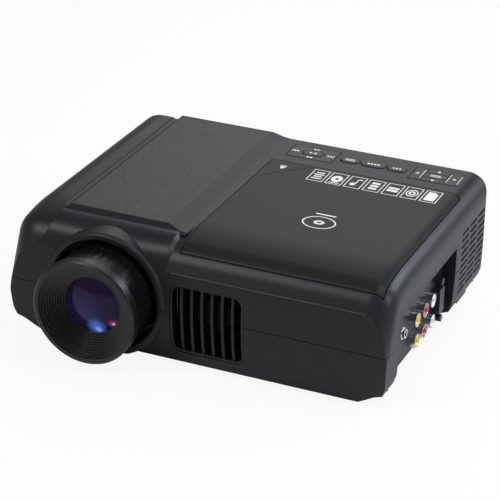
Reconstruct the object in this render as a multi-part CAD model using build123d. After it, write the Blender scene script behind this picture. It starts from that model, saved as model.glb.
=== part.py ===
"""Compact data projector with a top-loading disc player built into its right half.

Frame: millimetres. X runs to the right seen from the front, the lens looks along -Y, +Z is up.
The origin is at the centre of the plan, on the surface that the rubber feet stand on.
"""
from build123d import *
import math
import os

os.makedirs("parts", exist_ok=True)

# ---- overall case ----
case_width = 245.0
half = case_width / 2
case_front = -75.7          # furthest forward point of the bulged front wall
case_rear = 103.5
lens_front = -103.5         # front rim of the lens barrel
deck_z = 80.0               # flat deck that holds the lid and the keys
part_z = 37.0               # parting plane between the two half shells
belly_z = 2.5               # underside of the belly
margin_z = 10.0             # raised side margins of the underside
wall = 2.4
part_gap = 0.5              # visible line between the half shells
belly_half = half - 18.5
left_shoulder = 17.0
right_shoulder = 14.0
corner_rear = 5.0

# ---- front slope ----
crease_y = -74.5
crease_z = 62.0
dive_start = -36.0          # the deck starts to fall towards the front here
dive_radius = 110.0
slope_blend = 18.0
slope_rate = 2.246         # rise over run of the steep front slope
dive_end = -58.0
front_foot_y = -70.5        # where the front wall meets the belly

# ---- lid's place across the case, which places the lens beside it ----
lid_width = 126.0
lid_right = half - 7.0
lid_left = lid_right - lid_width

# ---- raised lens block and its top panel ----
hump_width = 65.5
hump_right = lid_left - 15.0
hump_left = hump_right - hump_width
hump_front = -52.0
hump_z = 82.4
block_left = hump_left - 11.0
block_right = lid_left - 3.5
scoop_width = 4.0
scoop_depth = 3.2
band_right = lid_left - 2.0  # foot of the gentle band beside the top panel
panel_thickness = 1.2
panel_margin = 0.15

# ---- lens ----
lens_x = hump_right - 31.7
lens_z = 39.0
collar_in = 34.5
collar_out = 40.0
collar_front = -77.0
collar_rear = -62.0
rim_radius = 33.3
rim_length = 6.7
hood_mouth = 29.6
glass_radius = 18.0
glass_y = -91.0
hood_steps = 10
ring_radius = 31.6
ring_bore = 28.0
ring_front = -96.2
ring_rear = -70.0
knurl_count = 40
tube_radius = 24.0
tube_rear = -53.0
lens_plate_y = -50.0
lens_plate_sheet = 3.0

# ---- lid and disc bay ----
lid_rear = 67.6
lid_thickness = 2.0
lid_gap = 0.5
lid_corner = 5.0
lid_cut = 28.5              # legs of the corner triangle taken by the release key
hinge_bearing = 128.0       # degrees round the slope's blend at which the lid's front roll sits
hinge_roll = 2.6
hinge_pin = 0.8
hinge_lug = 1.6
lug_width = 4.6
lug_xs = (lid_left + 14.5, lid_right - 14.5)
release_stroke = 1.8
disc_x = (lid_left + lid_right) / 2
disc_y = 4.0
disc_radius = 60.0
well_radius = 61.0
well_floor = 70.3
deck_sheet = 2.0
deck_inset = wall + 0.05

# ---- disc drive ----
spindle_hole = 16.0
rod_radius = 1.5
rod_spread = 20.0
rod_z = 62.0
chassis_z = 52.0
chassis_sheet = 1.6
fit = 0.05                  # radial clearance of running fits
clear = 0.3                 # clearance between pieces that don't touch

# ---- keys ----
key_gap = 0.4
pad_y0 = 77.5
pad_y1 = 96.0
pad_width = 31.0
left_pad_x0 = lid_left + 4.5
left_pad_x1 = left_pad_x0 + pad_width
right_pad_x1 = lid_right - 7.5
right_pad_x0 = right_pad_x1 - pad_width
oval_y = 86.8
oval_length = 12.5
oval_width = 8.0
oval_pitch = 15.8
oval_xs = tuple(disc_x - 1.7 + oval_pitch * i for i in (-1, 0, 1))
middle_oval_length = 16.5

# ---- grille and fan ----
grille_width = 48.0
grille_x0 = lid_left - 4.0
grille_x1 = grille_x0 + grille_width
grille_z0 = 9.6
grille_z1 = 56.2
grille_corner = 7.0
grille_rim = 1.6
louvre_count = 6
louvre_thickness = 1.7
louvre_depth = 6.0
louvre_setback = 1.2
fan_size = 50.0
fan_depth = 12.0
fan_y = -61.5
blade_count = 7

# ---- side connector bay ----
bay_y0 = -54.0
bay_y1 = 44.0
bay_top = 55.0
bay_depth = 8.5
bay_slope = 12.0
bay_panel = 2.0
rca_pitch = 14.0
rca_y = -12.0               # first column of jacks
rca_z = 17.4                # lower row of jacks
rca_radius = 4.4
rca_face = half - 3.8

# ---- screws, vents and rear sockets ----
boss_x = half - 5.7
boss_places = ((-boss_x, -60.0), (-boss_x, 92.0), (boss_x, -63.0), (boss_x, 93.0))
boss_radius = 4.0
boss_top = 60.0
screw_seat = 12.0
screw_radius = 1.3
screw_head = 2.8
side_vent_cols = ((54.0, 67.0), (69.5, 82.5), (85.0, 98.0))
side_vent_rows = [19.0 + 4.4 * i for i in range(10)]
rear_vent_xs = [lens_x - 28.8 + 7.0 * i for i in range(9)]
inlet_box = (disc_x + 5.5, disc_x + 27.5, 17.5, 32.5)
switch_box = (disc_x - 18.5, disc_x - 4.5, 18.0, 32.0)
socket_depth = 12.0
rocker_tilt = 7.0
rocker_y = case_rear - 4.6
foot_radius = 6.5
foot_x = half - 30.5
foot_places = [(x, y) for y in (-56.0, 90.0) for x in (-foot_x, foot_x)]

# ---- boards ----
board_z = 72.6
board_sheet = 1.2
board_left = lid_left - 0.5
board_right = lid_right - 2.5
board_posts = [(board_left + 3, 100.0), (oval_xs[1], 99.0), (board_right - 1.4, 99.5)]
board_posts += [(disc_x - 22.5, 75.5), (disc_x + 19.5, 75.5)]
pcb_z = 14.0
pcb_sheet = 1.6
pcb_right = disc_x + 45.5
post_right = pcb_right - 6
main_left = pcb_right - 110
main_posts = [(x, y) for y in (-40.0, 14.0) for x in (main_left + 4, post_right)]
power_left = pcb_right - 98
power_posts = [(x, y) for y in (34.0, 92.0) for x in (power_left + 6, post_right)]
av_x = half - 19.5
av_sheet = 1.6
av_z0 = 12.0
speaker_y = 71.0
speaker_z = 38.0
speaker_radius = 15.5

# ---- picture engine ----
engine_y0, engine_y1 = -38.0, -16.0
engine_w, engine_h = 66.0, 56.0
engine_z0 = lens_z - engine_h / 2
engine_slots = ((-34.0, 2.5), (-21.0, 1.8))
box_y0, box_y1 = -14.0, 86.0
box_w, box_h = 76.0, 62.0
box_z0 = lens_z - box_h / 2
box_sheet = 1.2
condenser_radius = 25.0
lamp_neck = 7.0
lamp_door_box = (lens_x - 34.8, lens_x + 34.2, 18.0, 84.0)

# ---- latch and release key ----
tab_x0, tab_x1 = lid_left + 27.5, lid_left + 33.5
tab_y0, tab_y1 = 63.0, 65.0
tab_z0 = 67.0
key_floor = deck_z - lid_thickness - release_stroke - 0.5
key_x = lid_left + 7.5
key_y = lid_rear - 7.5
key_post = 2.5
latch_z0 = 64.6
latch_z1 = 68.0
latch_y0 = 52.0
wedge_sum = 126.2           # Y + Z on the sloping end of the key's post

# ---- drive layout ----
drive_x0, drive_x1 = disc_x - 30.5, disc_x + 41.5
grommet_places = [(x, y) for y in (-17.0, 66.5) for x in (disc_x - 25.9, disc_x + 36.0)]
grommet_bore = 1.65
grommet_waist = 3.0
grommet_out = 4.0
motor_radius = 12.0
motor_z1 = 66.9
shaft_radius = 1.5
screw_x = disc_x + rod_spread + 6.75
sled_y0, sled_y1 = 20.0, 48.0
post_front = (14.0, 17.8)
post_rear = (85.0, 88.0)
lens_turret_y = disc_y + 23.0

# ---- jacks ----
bay_floor = half - bay_depth
rca_spots = [(rca_y + rca_pitch * i, rca_z + rca_pitch * j) for j in range(2) for i in range(3)]
phone_spot = (-30.0, 30.5)
data_spot = (33.0, 24.0)
data_nuts = 12.5

# ---- key layout ----
pad_line = 0.3              # gap between the five keys of the right pad
pad_side = 8.0
pad_row = 6.1
pad_x = (left_pad_x0 + left_pad_x1) / 2
pad_y = (pad_y0 + pad_y1) / 2
pad_centre_length = 14.0
pad_centre_width = 7.5
ring_z0 = board_z + board_sheet + 1.1
ring_z1 = ring_z0 + 0.9
stem_z = board_z + board_sheet + 1.0
pivot_radius = 0.6
pad_pivot_y = 6.05          # the pad's own pivots stand this far before and behind its middle
gimbal_pivot_x = 10.1       # the ring's pivots stand this far beside the middle
gimbal_axis_z = ring_z0 - 0.3
pad_axis_z = ring_z1 + 0.3


def slab(x0, x1, y0, y1, z0, z1):
    """Box from its two corners."""
    return Pos((x0 + x1) / 2, (y0 + y1) / 2, (z0 + z1) / 2) * Box(x1 - x0, y1 - y0, z1 - z0)


def rod_y(x, z, radius, y0, y1):
    """Cylinder along Y."""
    return Pos(x, (y0 + y1) / 2, z) * Rot(90, 0, 0) * Cylinder(radius, y1 - y0)


def rod_x(y, z, radius, x0, x1):
    """Cylinder along X."""
    return Pos((x0 + x1) / 2, y, z) * Rot(0, 90, 0) * Cylinder(radius, x1 - x0)


def rod_z_up(x, y, radius, z0, z1):
    """Cylinder along Z."""
    return Pos(x, y, (z0 + z1) / 2) * Cylinder(radius, z1 - z0)


def slope_corner():
    """Where the tangent at the end of the dive meets the steep front slope."""
    fall = (dive_start - dive_end) / dive_radius
    dive_z = deck_z - dive_radius * (1 - math.sqrt(1 - fall ** 2))
    top_rate = math.tan(math.asin(fall))
    run = (dive_z - crease_z - slope_rate * (dive_end - crease_y)) / (top_rate - slope_rate)
    return dive_end - run, dive_z - top_rate * run, dive_z


def side_face(inset):
    """Outline of the case seen from the right, as a face in the YZ plane."""
    corner_y, corner_z, dive_z = slope_corner()
    with BuildSketch(Plane.YZ) as sketch:
        with BuildLine():
            ThreePointArc((front_foot_y, belly_z), (case_front, 36.0), (crease_y, crease_z))
            Line((crease_y, crease_z), (corner_y, corner_z))
            Line((corner_y, corner_z), (dive_end, dive_z))
            RadiusArc((dive_end, dive_z), (dive_start, deck_z), dive_radius)
            Line((dive_start, deck_z), (case_rear, deck_z))
            Line((case_rear, deck_z), (case_rear, margin_z + 2))
            Line((case_rear, margin_z + 2), (case_rear - 6, belly_z))
            Line((case_rear - 6, belly_z), (front_foot_y, belly_z))
        make_face()
        fillet([v for v in sketch.vertices() if abs(v.X - corner_y) < 0.01], slope_blend)
        if inset:
            offset(amount=-inset, kind=Kind.INTERSECTION, mode=Mode.REPLACE)
    return sketch.sketch


def front_face(inset):
    """Outline of the case seen from the front, with the raised margins of the underside."""
    top = deck_z + 20
    points = [
        (belly_half, belly_z), (belly_half + 5, 5.4), (belly_half + 10, 8.6),
        (half - 3, margin_z + 0.6), (half - 1.2, margin_z + 6), (half, part_z), (half, top),
    ]
    mirrored = [(-x, z) for x, z in reversed(points)]
    with BuildSketch(Plane.XZ) as sketch:
        with BuildLine():
            Polyline(*points, *mirrored, close=True)
        make_face()
        if inset:
            offset(amount=-inset, kind=Kind.INTERSECTION, mode=Mode.REPLACE)
    return sketch.sketch


def plan_face(inset):
    """Outline of the case from above, with its vertical corners rounded."""
    x = half - inset
    y0 = case_front - 2 + inset
    y1 = case_rear - inset
    with BuildSketch() as sketch:
        with Locations((0, (y0 + y1) / 2)):
            Rectangle(2 * x, y1 - y0)
        front = sketch.vertices().sort_by(Axis.Y)[:2]
        rear = sketch.vertices().sort_by(Axis.Y)[2:]
        fillet(rear, corner_rear - inset * 0.5)
    return sketch.sketch


def case_solid(inset=0.0):
    """The closed outer form of the case, drawn in by inset on every side."""
    body = extrude(side_face(inset), amount=half - inset, both=True)
    for side, radius in ((1, right_shoulder), (-1, left_shoulder)):
        edges = []
        for edge in body.edges():
            middle = edge.center()
            on_side = abs(middle.X - side * (half - inset)) < 0.01
            if on_side and middle.Z > crease_z + 0.5 and middle.Y < case_rear - inset - 0.01:
                edges.append(edge)
        body = fillet(edges, radius - inset)
    body = body & extrude(front_face(inset), amount=case_width, both=True)
    return body & extrude(plan_face(inset), amount=2 * deck_z, both=True)


def block_face():
    """Side outline of the raised lens block, in the YZ plane."""
    with BuildSketch(Plane.YZ) as sketch:
        with BuildLine():
            Line((crease_y, crease_z), (-72.6, 68.6))
            ThreePointArc((-72.6, 68.6), (-67.5, 76.6), (-58.5, 80.2))
            Line((-58.5, 80.2), (dive_start + 4, deck_z + 0.1))
            Line((dive_start + 4, deck_z + 0.1), (dive_start + 4, part_z))
            Line((dive_start + 4, part_z), (crease_y + 6, part_z))
            Line((crease_y + 6, part_z), (crease_y, crease_z))
        make_face()
    return sketch.sketch


def block_front():
    """Front outline of the lens block: its left flank flares out towards the crease."""
    foot = (block_left - 10, crease_z - 1.5)
    top = (hump_left - 2, deck_z + 4)
    with BuildSketch(Plane.XZ) as sketch:
        with BuildLine():
            Spline(foot, (block_left, crease_z + 2.5), (hump_left - 4, crease_z + 15), top,
                   tangents=((1.0, 0.0), (0.15, 1.0)))
            Polyline(top, (block_right, top[1]), (block_right, part_z), (foot[0], part_z), foot)
        make_face()
    return sketch.sketch


def lens_block():
    """Raised housing over the lens, with the wing-shaped scoop along its right edge."""
    block = extrude(block_face(), amount=block_right + half, dir=(1, 0, 0))
    block = Pos(-half, 0, 0) * block
    rim = [e for e in block.edges() if abs(e.center().X - block_right) < 0.01 and e.center().Z > crease_z + 1
           and e.center().Y < dive_start + 3.9]
    block = chamfer(rim, scoop_depth, scoop_width)
    return block & extrude(block_front(), amount=case_width, both=True)


def blend_centre():
    """Centre of the arc that rounds the top of the front slope."""
    corner_y, corner_z, dive_z = slope_corner()
    upper = math.atan2(dive_z - corner_z, dive_end - corner_y)
    lower = math.atan2(crease_z - corner_z, crease_y - corner_y)
    middle = (upper + lower) / 2
    reach = slope_blend / math.sin((upper - lower) / 2)
    return corner_y + reach * math.cos(middle), corner_z + reach * math.sin(middle)


def hinge_axis():
    """Y and Z of the lid's axis: the front roll touches the blend from inside."""
    centre_y, centre_z = blend_centre()
    bearing = math.radians(hinge_bearing)
    reach = slope_blend - hinge_roll
    return centre_y + reach * math.cos(bearing), centre_z + reach * math.sin(bearing)


hinge_y, hinge_z = hinge_axis()
outer = case_solid()
cavity = case_solid(wall)


def prism(points, z0, z1):
    """Upright prism over a polygon."""
    return Pos(0, 0, z0) * extrude(make_face(Polyline(*points, close=True)), amount=z1 - z0, dir=(0, 0, 1))


def front_panel(x0, x1, z0, z1, radius, y0, y1):
    """Rounded rectangle seen from the front, cut from y0 to y1."""
    face = Plane.XZ * Pos((x0 + x1) / 2, (z0 + z1) / 2) * RectangleRounded(x1 - x0, z1 - z0, radius)
    return extrude(face, amount=y1 - y0, dir=(0, 1, 0)).moved(Location((0, y0, 0)))


def oval(x, y, length, width, z0, z1):
    """Upright oval plug with round ends."""
    return Pos(x, y, z0) * extrude(SlotOverall(length, width), amount=z1 - z0)


# ---- lid outline ----

def lid_prism(grow, square_corner=False):
    """Prism over the lid's plan. The rear left corner is cut for the release key unless square_corner."""
    x0 = lid_left - grow
    x1 = lid_right + grow
    y0 = hinge_y - 10
    y1 = lid_rear + grow
    face = Pos((x0 + x1) / 2, (y0 + y1) / 2) * Rectangle(x1 - x0, y1 - y0)
    right_rear = face.vertices().sort_by(Axis.Y)[2:].sort_by(Axis.X)[-1]
    face = fillet(right_rear, lid_corner)
    solid = extrude(face, amount=2 * deck_z)
    if square_corner:
        return solid
    return solid - key_prism(key_gap, 0, 2 * deck_z)


def key_prism(grow, z0, z1):
    """Triangular corner of the lid opening that holds the release key."""
    x0 = lid_left - 1
    y1 = lid_rear + 1
    cut = lid_cut + grow * math.sqrt(2)
    return prism([(x0, y1), (x0, lid_rear - cut - 1), (lid_left + cut + 1, y1)], z0, z1)


def hump_top():
    """Low plateau behind the lens block, with a gentle band down to the deck on its right."""
    with BuildSketch(Plane.XZ) as sketch:
        with BuildLine():
            Polyline((hump_left - 3.2, deck_z - 1), (hump_left - 3.2, deck_z), (hump_left, hump_z))
            Line((hump_left, hump_z), (hump_right, hump_z))
            Spline((hump_right, hump_z), (hump_right + 6.5, hump_z - 1.6), (band_right, deck_z),
                   tangents=((1.0, -0.15), (1.0, -0.05)))
            Polyline((band_right, deck_z), (band_right, deck_z - 1), (hump_left - 3.2, deck_z - 1))
        make_face()
    bar = extrude(sketch.sketch, amount=case_width, both=True)
    ramp = [(hump_front - 5.5, deck_z - 1.2), (hump_front - 3.2, deck_z + 0.4), (hump_front, hump_z),
            (hump_front, hump_z + 1), (case_rear, hump_z + 1), (case_rear, deck_z - 1.2)]
    face = Plane.YZ * make_face(Polyline(*ramp, close=True))
    return bar & extrude(face, amount=case_width, both=True)


def collar():
    """Ring that stands round the lens, rounded at its front edge."""
    ring = rod_y(lens_x, lens_z, collar_out, collar_front, collar_rear)
    front = [e for e in ring.edges() if abs(e.center().Y - collar_front) < 0.01]
    ring = fillet(front, 2.2)
    bore = rod_y(lens_x, lens_z, collar_in, collar_front - 1, collar_rear + 1)
    mouth = Pos(lens_x, collar_front + 0.75, lens_z) * Rot(90, 0, 0) * Cone(collar_in, collar_in + 1.6, 1.6)
    return (ring - bore - mouth) & slab(-half, half, -100, 0, belly_z, deck_z + 2)


def vents(x_from, x_to, y_slots, z_rows, slot_height):
    """Block of slits cut along X."""
    cutters = [slab(x_from, x_to, y0, y1, z, z + slot_height) for y0, y1 in y_slots for z in z_rows]
    return Compound(cutters)


def raw_shell():
    """Outer skin of both half shells before they are parted."""
    skin = outer + lens_block() + hump_top() + collar()
    groove = rod_y(hump_left - 4.6, deck_z + 3.1, 4.0, -hump_z, case_rear + 1)
    groove = groove & slab(-case_width, 0, hump_front - 2, case_rear + 1, 0, deck_z + 10)
    skin = skin - groove
    skin = skin - cavity
    skin = skin - slab(hump_left + 4, hump_right - 4, hump_front + 6, case_rear - wall, deck_z - 4,
                       hump_z - panel_thickness - 1.8)
    skin = skin - rod_y(lens_x, lens_z, collar_in, collar_front - 1, collar_rear + 4)
    skin = skin - front_panel(grille_x0, grille_x1, grille_z0, grille_z1, grille_corner, -80, -60)
    rim = bay_panel + 0.2
    skin = skin - slab(half - bay_depth - rim, half + 1, bay_y0 - rim, bay_y1 + rim, 0, bay_top + rim)
    skin = skin - vents(half - 4, half + 1, side_vent_cols, side_vent_rows, 1.7)
    return skin


def rear_cuts():
    """Openings of the rear wall: inlet, switch and cooling slots."""
    x0, x1, z0, z1 = inlet_box
    cut = slab(x0 - 0.2, x1 + 0.2, case_rear - 5, case_rear + 1, z0 - 0.2, z1 + 0.2)
    x0, x1, z0, z1 = switch_box
    cut += slab(x0 - 0.2, x1 + 0.2, case_rear - 5, case_rear + 1, z0 - 0.2, z1 + 0.2)
    for x in rear_vent_xs:
        cut += slab(x, x + 3.0, case_rear - 5, case_rear + 1, 18, 34)
        cut += slab(x, x + 3.0, case_rear - 5, case_rear + 1, 42, 62)
    return cut


def upper_case(shell):
    """Upper half shell with its screw bosses and key board posts."""
    part = shell & slab(-half - 5, half + 5, -110, 110, part_z + part_gap / 2, 100)
    for x, y in boss_places:
        part += rod_z_up(x, y, boss_radius, part_z + part_gap / 2, boss_top) & outer
    lid_hole = slab(-half, half, hinge_y - hinge_roll - lid_gap, 90, hinge_z - 6, 90)
    part -= lid_prism(lid_gap, square_corner=True) & lid_hole
    part -= panel_solid(panel_margin)
    part -= key_openings()
    for x, y in boss_places:
        part -= rod_z_up(x, y, screw_radius, part_z - 5, boss_top - 8)
    for x, y in board_posts:
        part += rod_z_up(x, y, 2.0, board_z + board_sheet, deck_z - wall)
    return part


def panel_solid(grow=0.0):
    """Grained inlay on top of the raised plateau."""
    x0, x1 = hump_left + 0.8 - grow, hump_right - 0.8 + grow
    y0, y1 = hump_front + 0.8 - grow, case_rear - 2.2 + grow
    return slab(x0, x1, y0, y1, hump_z - panel_thickness - (0.02 if grow else 0), hump_z + (5 if grow else 0))


def lower_case(shell):
    """Lower half shell with floor ribs, bosses and board posts."""
    part = shell & slab(-half - 5, half + 5, -110, 110, 0, part_z - part_gap / 2)
    for x, y in boss_places:
        part += rod_z_up(x, y, boss_radius, 6, part_z - part_gap / 2) & outer
    floor = belly_z + wall - 0.1
    plate_rear = lens_plate_y + lens_plate_sheet
    ribs = [
        (grille_x0 + 2.5, grille_x1 - 3.5, fan_y - 2.0, fan_y - 0.02, 9.2),
        (grille_x0 + 2.5, grille_x1 - 3.5, fan_y + fan_depth + 0.02, fan_y + fan_depth + 1.8, 13),
        (lens_x - 32.8, lens_x + 32.2, plate_rear + 0.02, plate_rear + 2, 14),
        (lens_x - 32.8, lens_x + 32.2, lens_plate_y, plate_rear, 5.8),
        (av_x - 1, av_x + 2, -40, 36, av_z0),
    ]
    for side in (-1, 1):
        x = lens_x + side * 27.2
        ribs.append((x - 4, x + 4, engine_y0, engine_y1, engine_z0))
        x = lens_x + side * 35.0
        ribs.append((x - 1, x + 1, box_y0 + 4, box_y1 - 4, box_z0))
    for x0, x1, y0, y1, z1 in ribs:
        part += slab(x0, x1, y0, y1, floor, z1)
    for x, y in main_posts + power_posts:
        part += rod_z_up(x, y, 2.6, floor, pcb_z)
    cradle = slab(half - 15.5, half - 3.5, speaker_y - 9, speaker_y + 9, 8, 29)
    part += cradle - rod_x(speaker_y, speaker_z, speaker_radius, half - 20, half)
    door_x0, door_x1, door_y0, door_y1 = lamp_door_box
    part -= slab(door_x0, door_x1, door_y0, door_y1, 0, belly_z + wall + 0.3)
    for x, y in boss_places:
        part -= rod_z_up(x, y, screw_head + 0.2, 0, screw_seat)
        part -= rod_z_up(x, y, screw_radius + 0.25, 0, part_z + 1)
    return part


def key_openings():
    """Holes of the deck for both pads and the three oval keys."""
    y0, y1 = pad_y0 - key_gap, pad_y1 + key_gap
    cut = slab(left_pad_x0 - key_gap, left_pad_x1 + key_gap, y0, y1, deck_z - 5, deck_z + 5)
    cut += slab(right_pad_x0 - key_gap, right_pad_x1 + key_gap, y0, y1, deck_z - 5, deck_z + 5)
    for i, x in enumerate(oval_xs):
        length = middle_oval_length if i == 1 else oval_length
        cut += oval(x, oval_y, length + 2 * key_gap, oval_width + 2 * key_gap, deck_z - 5, deck_z + 5)
    return cut


# ---- lid and its hardware ----

def lid():
    """Curved lid skin with a front roll on the hinge axis, lug pockets and a latch tab."""
    skin = outer - case_solid(lid_thickness)
    skin = skin & lid_prism(0)
    part = skin & slab(-half, half, hinge_y, 100, 60, 100)
    part += rod_x(hinge_y, hinge_z, hinge_roll, lid_left, lid_right) & outer
    for x in lug_xs:
        side = lug_width / 2 + clear
        part -= rod_x(hinge_y, hinge_z, hinge_lug + clear, x - side, x + side)
        part -= slab(x - side, x + side, hinge_y - 5, hinge_y + 7, hinge_z - 6, hinge_z - 0.9)
        part -= slab(x - side, x + side, hinge_y, hinge_y + 4.5, hinge_z - 1, hinge_z + 0.9)
        part -= rod_x(hinge_y, hinge_z, hinge_pin + fit, x - 7, x + 7)
    under = deck_z - lid_thickness
    part += slab(tab_x0, tab_x1, tab_y0, tab_y1, tab_z0, under + 0.1)
    return part


def hinge_pins():
    """Two short steel pins, fixed in the deck's lugs."""
    return [rod_x(hinge_y, hinge_z, hinge_pin, x - 6, x + 6) for x in lug_xs]


def lug_shape(x):
    """Hinge lug on a thin stem that leans back to the deck."""
    disc = rod_x(hinge_y, hinge_z, hinge_lug, x - lug_width / 2, x + lug_width / 2)
    stem = Pos(0, 0, -3.2) * Box(lug_width, 1.5, 6.4)
    stem = Pos(x, hinge_y, hinge_z) * Rot(35, 0, 0) * stem
    return disc + stem - rod_x(hinge_y, hinge_z, hinge_pin + 0.01, x - 10, x + 10)


def disc_deck():
    """Tray under the lid: round disc well, slot for the pickup, lugs, latch slot and four posts."""
    base = well_floor - deck_sheet
    part = case_solid(deck_inset) & slab(lid_left - 3.5, lid_right + 4, -69.5, 71, base, 90)
    part -= rod_z_up(disc_x, disc_y, well_radius, well_floor, 90)
    part -= rod_z_up(disc_x, disc_y, spindle_hole, 60, 90)
    slot_end = disc_y + disc_radius - 1
    part -= slab(disc_x - 7, disc_x + 7, disc_y + spindle_hole - 3, slot_end + 3, 60, well_floor + 1.2)
    part -= rod_x(hinge_y, hinge_z, hinge_roll + clear, lid_left - 4, lid_right + 6)
    part -= slab(lid_left - 4, lid_right + 6, -80, hinge_y, hinge_z - 2, 90)
    part -= slab(tab_x0 - 0.6, tab_x1 + 0.6, tab_y0 - 1.2, tab_y1 + 1, 60, 90)
    part -= key_prism(clear, key_floor, 90)
    part -= rod_z_up(key_x, key_y, key_post + fit, 60, 90)
    for x in lug_xs:
        part += lug_shape(x)
    for x, y in grommet_places:
        top = well_floor - deck_sheet + 0.1
        part += rod_z_up(x, y, 3.0, chassis_z + chassis_sheet + 1.62, top)
        part += rod_z_up(x, y, 1.6, chassis_z - 2, top)
        part += rod_z_up(x, y, 3.2, chassis_z - 2.6, chassis_z - 1.62)
    left, right = lid_left + 4.2, tab_x1 + 4.0
    for x, side in ((left, -1), (right, 1)):
        x0, x1 = sorted((x, x + side * 1.5))
        lip0, lip1 = sorted((x + side * 0.1, x - side * 1.5))
        part += slab(x0, x1, latch_y0 - 3, tab_y1, latch_z0 - 1.4, top)
        part += slab(lip0, lip1, latch_y0 - 3, tab_y1 - 7, latch_z0 - 1.4, latch_z0 - clear)
    return part


def wedge(x0, x1, y0, y1, z0, z1, total):
    """Bar along X whose rear upper side slopes at 45 degrees, where Y + Z equals total."""
    face = Plane.YZ * make_face(Polyline((y0, z0), (total - z0, z0), (total - z1, z1), (y0, z1), close=True))
    return Pos(x0, 0, 0) * extrude(face, amount=x1 - x0) & slab(x0, x1, y0, y1, z0, z1)


def open_button():
    """Triangular release key. The end of its post is cut at 45 degrees to push the latch."""
    face = [(lid_left, lid_rear), (lid_left, lid_rear - lid_cut), (lid_left + lid_cut, lid_rear)]
    cap = prism(face, deck_z - lid_thickness, deck_z)
    post = rod_z_up(key_x, key_y, key_post, latch_z0 - 1, deck_z - lid_thickness + 0.1)
    post -= wedge(key_x - 5, key_x + 5, key_y - 9, key_y + 9, latch_z0 - 5, latch_z1 + 5, wedge_sum)
    return cap + post


def lid_latch():
    """Slider below the deck: a nose beside the lid's tab and a wedge under the key's post."""
    part = slab(lid_left + 4.6, tab_x1 + 3.6, latch_y0, latch_y0 + 4, latch_z0, latch_z1)
    part += slab(tab_x0 + 0.5, tab_x1 - 0.5, latch_y0 + 3, tab_y0 - clear, latch_z0, latch_z1)
    gap = clear * math.sqrt(2)
    part += wedge(key_x - 2.5, key_x + 2.5, latch_y0 + 1, key_y + 6, latch_z0, latch_z1, wedge_sum - gap)
    return part


# ---- disc drive ----


def chassis():
    """Drive plate with posts for the sled rods and a saddle for the feed motor."""
    part = slab(drive_x0, drive_x1, -23, 92, chassis_z, chassis_z + chassis_sheet)
    part -= slab(disc_x - 14, disc_x + 14, 24, 80, chassis_z - 1, chassis_z + 3)
    for x, y in grommet_places:
        part -= rod_z_up(x, y, grommet_waist + 0.05, chassis_z - 1, chassis_z + 3)
    top = chassis_z + chassis_sheet
    part += slab(disc_x - rod_spread - 3, disc_x - rod_spread + 3, *post_front, top, rod_z + 3)
    part += slab(disc_x + rod_spread - 3, screw_x + 3.5, *post_front, top, rod_z + 3)
    part += slab(disc_x - rod_spread - 3, screw_x + 3.5, *post_rear, top, rod_z + 3)
    part += slab(screw_x - 4, screw_x + 4, -4, 12, top, rod_z - 5.9)
    for x in (disc_x - rod_spread, disc_x + rod_spread):
        part -= rod_y(x, rod_z, rod_radius + 0.01, 10, 95)
    part -= rod_y(screw_x, rod_z, rod_radius + fit, 13, 95)
    part -= rod_z_up(disc_x, disc_y, 4, chassis_z - 1, chassis_z + 3)
    return part


def grommets():
    """Rubber isolators: two flanges and a waist held by the plate."""
    out = []
    for x, y in grommet_places:
        ring = rod_z_up(x, y, grommet_out, chassis_z - 1.6, chassis_z - 0.02)
        ring += rod_z_up(x, y, grommet_waist, chassis_z - 0.1, chassis_z + chassis_sheet + 0.1)
        ring += rod_z_up(x, y, grommet_out, chassis_z + chassis_sheet + 0.02, chassis_z + chassis_sheet + 1.6)
        out.append(ring - rod_z_up(x, y, grommet_bore, 40, 60))
    return out


def spindle_motor():
    """Can motor with a bearing bore in its top."""
    can = rod_z_up(disc_x, disc_y, motor_radius, chassis_z + chassis_sheet, motor_z1)
    can = chamfer(can.edges().group_by(Axis.Z)[-1], 0.8)
    return can - rod_z_up(disc_x, disc_y, shaft_radius + fit, chassis_z + 6, motor_z1 + 1)


def turntable():
    """Hub that grips the disc: flange, centring boss with three balls, and shaft."""
    part = rod_z_up(disc_x, disc_y, 13.0, well_floor + 1.2, well_floor + 2.7)
    boss = rod_z_up(disc_x, disc_y, 7.35, well_floor + 2.7, well_floor + 5.6)
    boss = chamfer(boss.edges().group_by(Axis.Z)[-1], 1.2)
    part += boss
    part += rod_z_up(disc_x, disc_y, 3.5, motor_z1 + 0.4, well_floor + 1.3)
    part += rod_z_up(disc_x, disc_y, shaft_radius, chassis_z + 6.5, motor_z1 + 0.5)
    for i in range(3):
        angle = math.radians(90 + 120 * i)
        x, y = disc_x + 6.9 * math.cos(angle), disc_y + 6.9 * math.sin(angle)
        part += Pos(x, y, well_floor + 3.7) * Sphere(0.8)
    return part


def sled_rods():
    xs = (disc_x - rod_spread, disc_x + rod_spread)
    return [rod_y(x, rod_z, rod_radius, post_front[0], post_rear[1]) for x in xs]


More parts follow.
